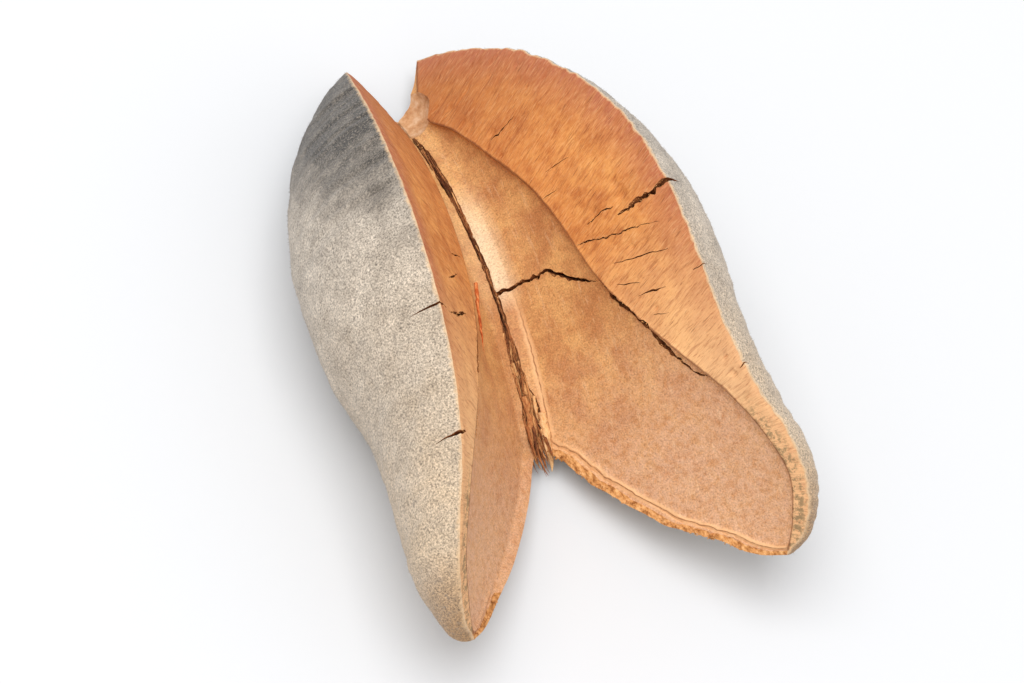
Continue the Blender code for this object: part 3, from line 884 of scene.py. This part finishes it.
def hexColour(code):
    # sRGB hex to the linear colour that the shader works in
    parts = [int(code[k:k + 2], 16) / 255 for k in (1, 3, 5)]
    return [c / 12.92 if c <= 0.04045 else ((c + 0.055) / 1.055) ** 2.4 for c in parts] + [1.0]


def firstOutput(node):
    return next(socket for socket in node.outputs if socket.enabled)


def addNode(tree, kind, links=(), stops=(), **settings):
    # links is the inputs in order, or a dictionary of input name or number, to values, sockets or nodes
    node = tree.nodes.new(kind)
    for name, value in settings.items():
        setattr(node, name, value)
    for socket, value in links.items() if isinstance(links, dict) else enumerate(links):
        if isinstance(value, bpy.types.Node):
            value = firstOutput(value)
        if isinstance(value, bpy.types.NodeSocket):
            tree.links.new(value, node.inputs[socket])
        else:
            node.inputs[socket].default_value = value
    if stops:
        # colours of a ramp as (position, hex) in place of its own black and white
        elements = node.color_ramp.elements
        for position, code in stops:
            elements.new(position).color = hexColour(code)
        elements.remove(elements[-1])
        elements.remove(elements[0])
    return node


def newMaterial(name, **surface):
    material = bpy.data.materials.new(name)
    material.use_nodes = True
    tree = material.node_tree
    tree.nodes.clear()
    shader = addNode(tree, "ShaderNodeBsdfPrincipled", surface)
    addNode(tree, "ShaderNodeOutputMaterial", {"Surface": shader})
    return material, tree, shader


def podSpot(tree, along=1000):
    # The place on the pod in millimetres
    place = addNode(tree, "ShaderNodeTexCoord").outputs["Object"]
    return addNode(tree, "ShaderNodeMapping", {"Vector": place, "Scale": (1000, along, 1000)})


def wallMap(tree, label):
    # The coordinates of a UV map of the valve, in decimetres
    source = addNode(tree, "ShaderNodeUVMap", uv_map=label)
    return addNode(tree, "ShaderNodeSeparateXYZ", (source,)).outputs


def noiseRows(tree, spot, rows):
    return [addNode(tree, "ShaderNodeTexNoise", {"Vector": spot, "Scale": 1 / size, "Detail": detail,
                                                 "Roughness": roughness}) for size, detail, roughness in rows]


def wobbled(tree, value, noise, amount):
    # The value moved up or down by half the amount at most
    offset = addNode(tree, "ShaderNodeMath", (noise, amount, -amount / 2), operation="MULTIPLY_ADD")
    return addNode(tree, "ShaderNodeMath", (value, offset), operation="ADD")


def product(tree, first, *others):
    for other in others:
        first = addNode(tree, "ShaderNodeMath", (first, other), operation="MULTIPLY")
    return first


def coat(tree, under, colour, value, start=None, end=None, most=1.0, times=()):
    # A coat of colour that thickens to most as the value goes from start to end
    share = value if start is None else addNode(tree, "ShaderNodeMapRange", (value, start, end, 0.0, most))
    under = hexColour(under) if isinstance(under, str) else under
    return addNode(tree, "ShaderNodeMix", {0: product(tree, share, *times), 6: under, 7: hexColour(colour)},
                   data_type="RGBA")


def dappled(tree, under, noise, darkest, lightest):
    # The colour multiplied by a noise
    specks = addNode(tree, "ShaderNodeMapRange", (noise, 0.3, 0.7, darkest, lightest))
    return addNode(tree, "ShaderNodeMix", {0: 1.0, 6: under, 7: specks}, data_type="RGBA",
                   blend_type="MULTIPLY")


def dress(tree, shader, colour, *bumps):
    # The finished colour, and bump over bump as (height, strength, distance), go into the shader
    tree.links.new(firstOutput(colour), shader.inputs["Base Color"])
    below = {}
    for height, strength, distance in bumps:
        bump = addNode(tree, "ShaderNodeBump", {"Height": height, "Strength": strength,
                                                "Distance": distance, **below})
        below = {"Normal": bump}
    tree.links.new(bump.outputs[0], shader.inputs["Normal"])


# Noises are (size in mm, detail, roughness)
felt = {
    "pale": "#c3b6a6", "mid": "#9a8e80", "charcoal": "#39342f", "beige": "#bda68a", "tip": "#9c713f",
    "rimLine": "#ddb98f", "speckDark": "#6f655a", "rimLineWidth": 0.30,
    "noises": ((9, 4.0, 0.6), (3.6, 6.0, 0.7), (0.24, 3.0, 0.8), (0.9, 2.0, 0.6)),
}


def feltMaterial():
    # Weathered outer skin of the fruit: dense short down, so it is matt, speckled and soft at the edges
    material, tree, shader = newMaterial("weatheredDown", **{
        "Roughness": 0.95, "Sheen Weight": 0.18, "Sheen Roughness": 0.6, "Specular IOR Level": 0.25})
    spot = podSpot(tree)
    x, y = addNode(tree, "ShaderNodeSeparateXYZ", (spot,)).outputs[:2]
    fromRim = wallMap(tree, "grain")[1]
    broad, patch, speck, fleck = noiseRows(tree, spot, felt["noises"])
    skin = coat(tree, felt["mid"], felt["pale"], patch, 0.36, 0.64)
    # warmer towards the narrow end and low on the flank
    skin = coat(tree, skin, felt["beige"], y, 8.0, -30.0, 0.9, (broad, 1.7))
    skin = coat(tree, skin, felt["tip"], y, -33.0, -42.0, 0.85)
    # charcoal bloom on the broad end of the left valve, which reaches farther down beside the rim
    level = wobbled(tree, y, broad, 18.0)
    besideRim = addNode(tree, "ShaderNodeMapRange", (fromRim, -0.2, -0.02, 0.0, 15.0))
    height = addNode(tree, "ShaderNodeMath", (level, besideRim), operation="ADD")
    top, mottled, leftOnly = (addNode(tree, "ShaderNodeMapRange", row) for row in (
        (height, 14.0, 34.0), (patch, 0.62, 0.38, 0.85, 1.15), (x, 8.0, -2.0, 0.2, 1.0)))
    smoky = addNode(tree, "ShaderNodeMath", (product(tree, top, mottled), leftOnly), operation="MULTIPLY",
                    use_clamp=True)
    skin = coat(tree, skin, felt["charcoal"], smoky)
    # the down itself: light tips and dark gaps, with single grey hairs left in the dark bloom
    skin = dappled(tree, skin, speck, 0.2, 1.8)
    skin = coat(tree, skin, felt["mid"], speck, 0.52, 0.64, 0.75, (smoky,))
    skin = coat(tree, skin, felt["speckDark"], fleck, 0.64, 0.72, 0.5)
    # a pale line where the skin was torn open along the rim
    line = felt["rimLineWidth"] / 100
    skin = coat(tree, skin, felt["rimLine"], wobbled(tree, fromRim, fleck, 0.012), -line - 0.002,
                -line + 0.003, 0.8)
    dress(tree, shader, skin, (fleck, 0.35, 0.0003), (speck, 0.7, 0.00018))
    return material


downHair = {"pale": "#c6baab", "grey": "#877d72", "smoky": "#67615a", "noises": ((0.8, 3.0, 0.5),)}


def downMaterial():
    # Loose ends of the down: bleached plant hair, paler than the skin it grows from
    material, tree, shader = newMaterial("bleachedHair", **{"Roughness": 0.8, "Sheen Weight": 0.3,
                                                            "Specular IOR Level": 0.3})
    spot = podSpot(tree)
    y = addNode(tree, "ShaderNodeSeparateXYZ", (spot,)).outputs[1]
    patch, = noiseRows(tree, spot, downHair["noises"])
    hair = coat(tree, downHair["grey"], downHair["pale"], patch, 0.35, 0.65)
    hair = coat(tree, hair, downHair["smoky"], y, 8.0, 22.0, 0.85)
    tree.links.new(firstOutput(hair), shader.inputs["Base Color"])
    return material


# The wood's own noises lie along the fibres, as (width, length, detail, roughness, distortion)
wood = {
    "deep": "#b86d35", "mid": "#d28a4a", "gold": "#e3a05a", "stem": "#b06a38", "tip": "#efc592",
        "rimRed": "#b0684a",
    "streakPale": "#f0bf8a", "streakDark": "#8f4722", "pore": "#5e2c14", "seam": "#6e3a1c",
        "lichen": "#86704f",
    "fibres": ((0.19, 1.5, 3.0, 0.65, 0.5), (0.684, 4.5, 5.0, 0.7, 0.7), (0.16, 2.6, 2.0, 0.5, 0.0)),
    "noises": ((3.0, 6.0, 0.68), (0.8, 4.0, 0.75)),
}


def woodMaterial():
    # Split hardwood: short fibres run from the rim inwards, so it is streaky, matt and orange-brown
    material, tree, shader = newMaterial("splitFruitWood", **{"Roughness": 0.8, "Specular IOR Level": 0.3})
    grain = addNode(tree, "ShaderNodeUVMap", uv_map="grain")
    fromRim = wallMap(tree, "grain")[1]
    fromSeam = wallMap(tree, "seam")[1]
    spot = podSpot(tree)
    y = addNode(tree, "ShaderNodeSeparateXYZ", (spot,)).outputs[1]
    streaks = []
    for number, (width, length, detail, roughness, distortion) in enumerate(wood["fibres"]):
        at = addNode(tree, "ShaderNodeMapping", {"Vector": grain, "Scale": (100 / width, 100 / length, 1),
                                                 "Location": (3.1, 1.7, 0) if number == 2 else (0, 0, 0)})
        streaks.append(addNode(tree, "ShaderNodeTexNoise", {
            "Vector": at, "Scale": 1.0, "Detail": detail, "Roughness": roughness, "Distortion": distortion}))
    fine, wide, pore = streaks
    blotch, dust = noiseRows(tree, spot, wood["noises"])
    stops = ((0.3, wood["deep"]), (0.5, wood["mid"]), (0.7, wood["gold"]))
    face = addNode(tree, "ShaderNodeValToRGB", (blotch,), stops)
    # darker at the stem end and paler towards the tips
    face = coat(tree, face, wood["stem"], y, 15.0, 36.0, 0.85)
    face = coat(tree, face, wood["tip"], y, 1.0, -24.0, 0.78)
    # redder near the rim, where the wood met the skin
    redness = addNode(tree, "ShaderNodeMapRange", (y, 0.0, -18.0, 1.9, 0.6))
    face = coat(tree, face, wood["rimRed"], fromRim, 0.06, 0.0, 0.95, (wide, redness))
    # pale and dark streaks, then pores
    for colour, noise, start, end, most in (
            ("streakPale", fine, 0.5, 0.72, 0.34), ("streakDark", wide, 0.47, 0.34, 0.45),
            ("streakDark", fine, 0.46, 0.3, 0.5), ("pore", pore, 0.62, 0.72, 0.6)):
        face = coat(tree, face, wood[colour], noise, start, end, most)
    # olive lichen dust beside the bed near the tip
    nearTip, besideSeam = (addNode(tree, "ShaderNodeMapRange", row) for row in (
        (y, -24.0, -29.0), (fromSeam, 0.024, 0.012)))
    face = coat(tree, face, wood["lichen"], dust, 0.47, 0.57, 0.85, (product(tree, nearTip, besideSeam),))
    # a dark seam where the lining is set into the wood
    face = coat(tree, face, wood["seam"], wobbled(tree, fromSeam, blotch, 0.006), 0.0026, 0.0008, 0.7)
    # torn skin leaves a pale thread along the very rim
    face = coat(tree, face, felt["rimLine"], wobbled(tree, fromRim, wide, 0.010), 0.0030, 0.0008, 0.7)
    dress(tree, shader, face, (wide, 0.5, 0.0003), (fine, 0.5, 0.00015))
    return material


lining = {
    # the colour used beside the hinge is a painted highlight, not the lining's own colour
    "tan": "#b87f4f", "gold": "#d4a166", "highlightCream": "#ead2ad", "bloom": "#cc9e7c", "stain": "#ad7040",
    # edge is a painted highlight on the lip's fold, groove a painted shade line in its crease
    "fleck": "#e8c49c", "speck": "#84502c", "edge": "#e6b582", "groove": "#8f5a33", "seam": "#7c4622",
    "noises": ((6.0, 6.0, 0.66), (1.0, 6.0, 0.78), (0.22, 2.0, 0.5)),
}


def liningMaterial():
    # Papery inner wall that lay against the seed: smooth with a faint shine, tan with a dusty bloom
    material, tree, shader = newMaterial("paperyLining", **{"Roughness": 0.6, "Specular IOR Level": 0.35})
    podY, fromLip = wallMap(tree, "bed")[:2]
    fromSeam = wallMap(tree, "seam")[1]
    spot = podSpot(tree)
    x = addNode(tree, "ShaderNodeSeparateXYZ", (spot,)).outputs[0]
    cloud, mottle, speck = noiseRows(tree, spot, lining["noises"])
    face = coat(tree, lining["tan"], lining["gold"], cloud, 0.4, 0.6)
    # dusty pink bloom over the lower half, with stains
    lower, patchy = (addNode(tree, "ShaderNodeMapRange", row) for row in (
        (podY, -0.06, -0.24), (mottle, 0.34, 0.62, 0.35, 1.0)))
    face = coat(tree, face, lining["bloom"], product(tree, lower, patchy))
    face = coat(tree, face, lining["stain"], mottle, 0.52, 0.36, 0.46)
    # painted highlight: a pale sheen beside the hinge, half way along, mostly on the right valve
    above, below, nearHinge, rightOnly = (addNode(tree, "ShaderNodeMapRange", row) for row in (
        (podY, 0.005, 0.045), (podY, 0.21, 0.13), (fromLip, 0.034, 0.006), (x, -0.3, 0.3)))
    # how strong the painted highlight is on each valve
    highlightMost = addNode(tree, "ShaderNodeMath", (rightOnly, 0.62, 0.14), operation="MULTIPLY_ADD")
    face = coat(tree, face, lining["highlightCream"], product(tree, above, below, nearHinge, highlightMost))
    # fine dust and a few scratches left by the seed
    scratchAt = addNode(tree, "ShaderNodeMapping", {"Vector": spot, "Rotation": (0, 0, 0.32),
                                                    "Scale": (4.0, 0.25, 1.0)})
    scratch, = noiseRows(tree, scratchAt, ((1 / 0.8, 4.0, 0.7),))
    face = coat(tree, face, lining["fleck"], scratch, 0.56, 0.72, 0.35)
    face = dappled(tree, face, speck, 0.8, 1.22)
    face = coat(tree, face, lining["speck"], speck, 0.35, 0.27, 0.4)
    # double lip along the torn hinge and the free back edge of the right valve: a painted highlight on the
    # fold and a painted shade line in the groove
    torn, broken = (addNode(tree, "ShaderNodeMapRange", row) for row in (
        (podY, 0.05, -0.03), (mottle, 0.38, 0.5)))
    free = product(tree, torn, rightOnly)
    lip = wobbled(tree, fromLip, cloud, 0.003)
    for colour, middle, start, end, most, times in (("edge", 0.0175, 0.0065, 0.003, 0.75, (free,)),
                                                    ("groove", 0.0168, 0.0013, 0.0005, 0.8, (broken, free))):
        apart = addNode(tree, "ShaderNodeMath", (lip, middle), operation="SUBTRACT")
        apart = addNode(tree, "ShaderNodeMath", (apart,), operation="ABSOLUTE")
        face = coat(tree, face, lining[colour], apart, start, end, most, times)
    # the seam against the wood
    face = coat(tree, face, lining["seam"], wobbled(tree, fromSeam, mottle, 0.004), -0.0032, -0.0010, 0.75)
    dress(tree, shader, face, (mottle, 0.4, 0.0002), (speck, 0.35, 0.0001))
    return material


# Broken wood: colours from the bump's hollows to its crests, grain size in mm, how far it runs along the pod,
# and bump
crumble = {"name": "brokenWallEdge", "dark": "#8a5529", "mid": "#c48a52", "pale": "#e0ad76", "size": 0.5,
           "run": 1.8, "bump": 0.00025}
crackWalls = {"name": "crackedWood", "dark": "#663518", "mid": "#96592f", "pale": "#bd7f48", "size": 0.4,
              "run": 1.0, "bump": 0.0003}
gapWalls = {"name": "hingeTear", "dark": "#5a3219", "mid": "#8f5c36", "pale": "#c39061", "size": 0.35,
            "run": 7.0, "bump": 0.0003}
scarSkin = {"name": "stalkScarCork", "dark": "#b08057", "mid": "#c99d75", "pale": "#d9b795", "size": 1.3,
            "run": 1.0, "bump": 0.0002}
slipSkin = {"name": "skinSliver", "dark": "#a0441b", "mid": "#c8622e", "pale": "#e59358", "size": 0.4,
            "run": 6.0, "bump": 0.0001}


def brokenMaterial(look):
    # Fibres snapped short: matt, darker in the hollows of the bump and paler on its crests
    material, tree, shader = newMaterial(look["name"], **{"Roughness": 0.9, "Specular IOR Level": 0.25})
    spot = podSpot(tree, 1000 / look["run"])
    grit, = noiseRows(tree, spot, ((look["size"], 4.0, 0.65),))
    stops = ((0.34, look["dark"]), (0.5, look["mid"]), (0.66, look["pale"]))
    base = addNode(tree, "ShaderNodeValToRGB", (grit,), stops)
    dress(tree, shader, base, (grit, 0.7, look["bump"]))
    return material


tornWood = {"dark": "#5b2f18", "brown": "#a8673a", "pale": "#dca368", "tip": "#ecc08b",
            "noises": ((0.25, 3.0, 0.65),)}


def fibreMaterial():
    # Torn wood fibre: pale orange to dark brown by its tone, and strands lying deeper in the tear are mostly
    # given darker tones
    material, tree, shader = newMaterial("tornFibre", **{"Roughness": 0.85, "Specular IOR Level": 0.3})
    tone = addNode(tree, "ShaderNodeAttribute", attribute_name="tone").outputs["Fac"]
    streak, = noiseRows(tree, podSpot(tree, 260), tornWood["noises"])
    stops = ((0.05, tornWood["dark"]), (0.38, tornWood["brown"]), (0.7, tornWood["pale"]),
             (0.95, tornWood["tip"]))
    base = addNode(tree, "ShaderNodeValToRGB", (wobbled(tree, tone, streak, 0.9),), stops)
    dress(tree, shader, base, (streak, 0.6, 0.0002))
    return material


def setCamera():
    data = bpy.data.cameras.new("photoView")
    data.lens = viewPoint["lens"]
    data.sensor_width = viewPoint["sensor"]
    data.clip_start = 0.01
    data.clip_end = 20.0
    camera = bpy.data.objects.new("photoView", data)
    bpy.context.scene.collection.objects.link(camera)
    turn = (Matrix.Rotation(math.radians(viewPoint["azimuth"]), 4, "Z")
            @ Matrix.Rotation(math.radians(90 - viewPoint["elevation"]), 4, "X")
            @ Matrix.Rotation(math.radians(viewPoint["roll"]), 4, "Z"))
    aim = Vector(viewPoint["aim"]) * mm
    back = turn.to_3x3() @ Vector((0, 0, viewPoint["distance"] * mm))
    camera.matrix_world = Matrix.Translation(aim + back) @ turn
    bpy.context.scene.camera = camera
    return camera


def setStudio(camera):
    half = studio["floorSize"] * mm / 2
    floor = addMesh("studioFloor", [(-half, -half, 0), (half, -half, 0), (half, half, 0), (-half, half, 0)],
                    [(0, 1, 2, 3)])
    floor.location.z = -0.00002
    material, tree, shader = newMaterial("paleFloor", **{"Roughness": 0.9, "Specular IOR Level": 0.1})
    shader.inputs["Base Color"].default_value = hexColour(studio["floorColour"])
    floor.data.materials.append(material)
    world = bpy.data.worlds.new("softSky")
    world.use_nodes = True
    sky = world.node_tree.nodes["Background"]
    sky.inputs[0].default_value = hexColour(studio["skyColour"])
    sky.inputs[1].default_value = studio["skyStrength"]
    bpy.context.scene.world = world
    # a wide softbox over the photographer's right shoulder
    turn = camera.matrix_world.to_3x3()
    toLight = (turn @ Vector(studio["keySide"])).normalized()
    light = bpy.data.lights.new("softbox", "AREA")
    light.shape = "SQUARE"
    light.size = studio["keySize"] * mm
    light.energy = studio["keyPower"]
    lamp = bpy.data.objects.new("softbox", light)
    lamp.location = Vector(viewPoint["aim"]) * mm + toLight * studio["keyDistance"] * mm
    lamp.rotation_euler = toLight.to_track_quat("Z", "Y").to_euler()
    bpy.context.scene.collection.objects.link(lamp)
    bpy.context.scene.view_settings.view_transform = "Standard"


camera = setCamera()
setStudio(camera)
print("camera, floor and light are set")

finishes = [feltMaterial(), woodMaterial(), liningMaterial(), brokenMaterial(crumble),
            brokenMaterial(crackWalls), brokenMaterial(gapWalls), brokenMaterial(scarSkin)]
downFinish = downMaterial()
fibreFinish = fibreMaterial()
print("materials are ready")


def finishPiece(item):
    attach(item, "root")
    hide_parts("pod")
    print(item.name, "has", len(item.data.polygons), "faces")


hairs = downTree()
for name, side in (("rightValve", 1), ("leftValve", -1)):
    item = buildValve(name, side)
    for material in finishes:
        item.data.materials.append(material)
    # cracks that run into each other are cut one after the other
    for layer in (0, 1):
        shells = [crackCutter(f"crack{number}", crack, side, 100 + 7 * number)
                  for number, crack in enumerate(cracks["right" if side > 0 else "left"])
                  if crack.get("layer", 0) == layer]
        if not shells:
            continue
        joined = joinItems(shells, f"{name}Cracks{layer}")
        joined.data.materials.append(finishes[4])
        cutAway(item, joined)
    for cutter, finish in ((gapCutter(), finishes[5]), (scarCutter(), finishes[6])):
        cutter.data.materials.append(finish)
        cutAway(item, cutter)
    item.data.shade_smooth()
    item.data.set_sharp_from_angle(angle=math.radians(50))
    # hairs grow on the skin alone
    fuzz = item.copy()
    fuzz.data = item.data.copy()
    fuzz.name = name.replace("Valve", "Down")
    bpy.context.scene.collection.objects.link(fuzz)
    bm = bmesh.new()
    bm.from_mesh(fuzz.data)
    bmesh.ops.delete(bm, geom=[face for face in bm.faces if face.material_index != 0], context="FACES")
    bm.to_mesh(fuzz.data)
    bm.free()
    runTree(fuzz, hairs, {"Density": down["density"] / mm ** 2, "Length": down["length"] * mm,
                          "Thickness": down["thickness"] * mm, "Lean": down["lean"],
                          "Seed": down["seed"] + side, "Finish": downFinish})
    finishPiece(item)
    finishPiece(fuzz)

strands = strandTree()
for name, paths, look in (("tornFibres", tornFibrePaths(), splinters), ("hingePith", pithPaths(), pith)):
    item = runTree(addPaths(name, paths), strands, {"Sides": look["sides"], "Roughness": 0.22 * mm,
                                                    "Grain": 2600.0, "Finish": fibreFinish})
    item.data.shade_smooth()
    finishPiece(item)

# a sliver of reddish seed skin is left standing against the left lining
ends = [onFace(np.array(along), np.array(up), 0.0, -1) for along, up in ((-6.8, 7.7), (-17.4, 12.7))]
slipPaths = [strand(np.random.default_rng(5), ends[0], ends[1], 0.26, 0.5, 16, 0.0, 0.012, 1.8)]
slip = runTree(addPaths("seedSkinSliver", slipPaths), strands, {
    "Sides": 6, "Roughness": 0.1 * mm, "Grain": 1500.0, "Finish": brokenMaterial(slipSkin)})
slip.data.shade_smooth()
finishPiece(slip)

chips = runTree(addPaths("edgeCrumbs", crumbPaths()), chipTree(), {
    "Size": mm, "Seed": crumbs["seed"], "Finish": finishes[3]})
finishPiece(chips)
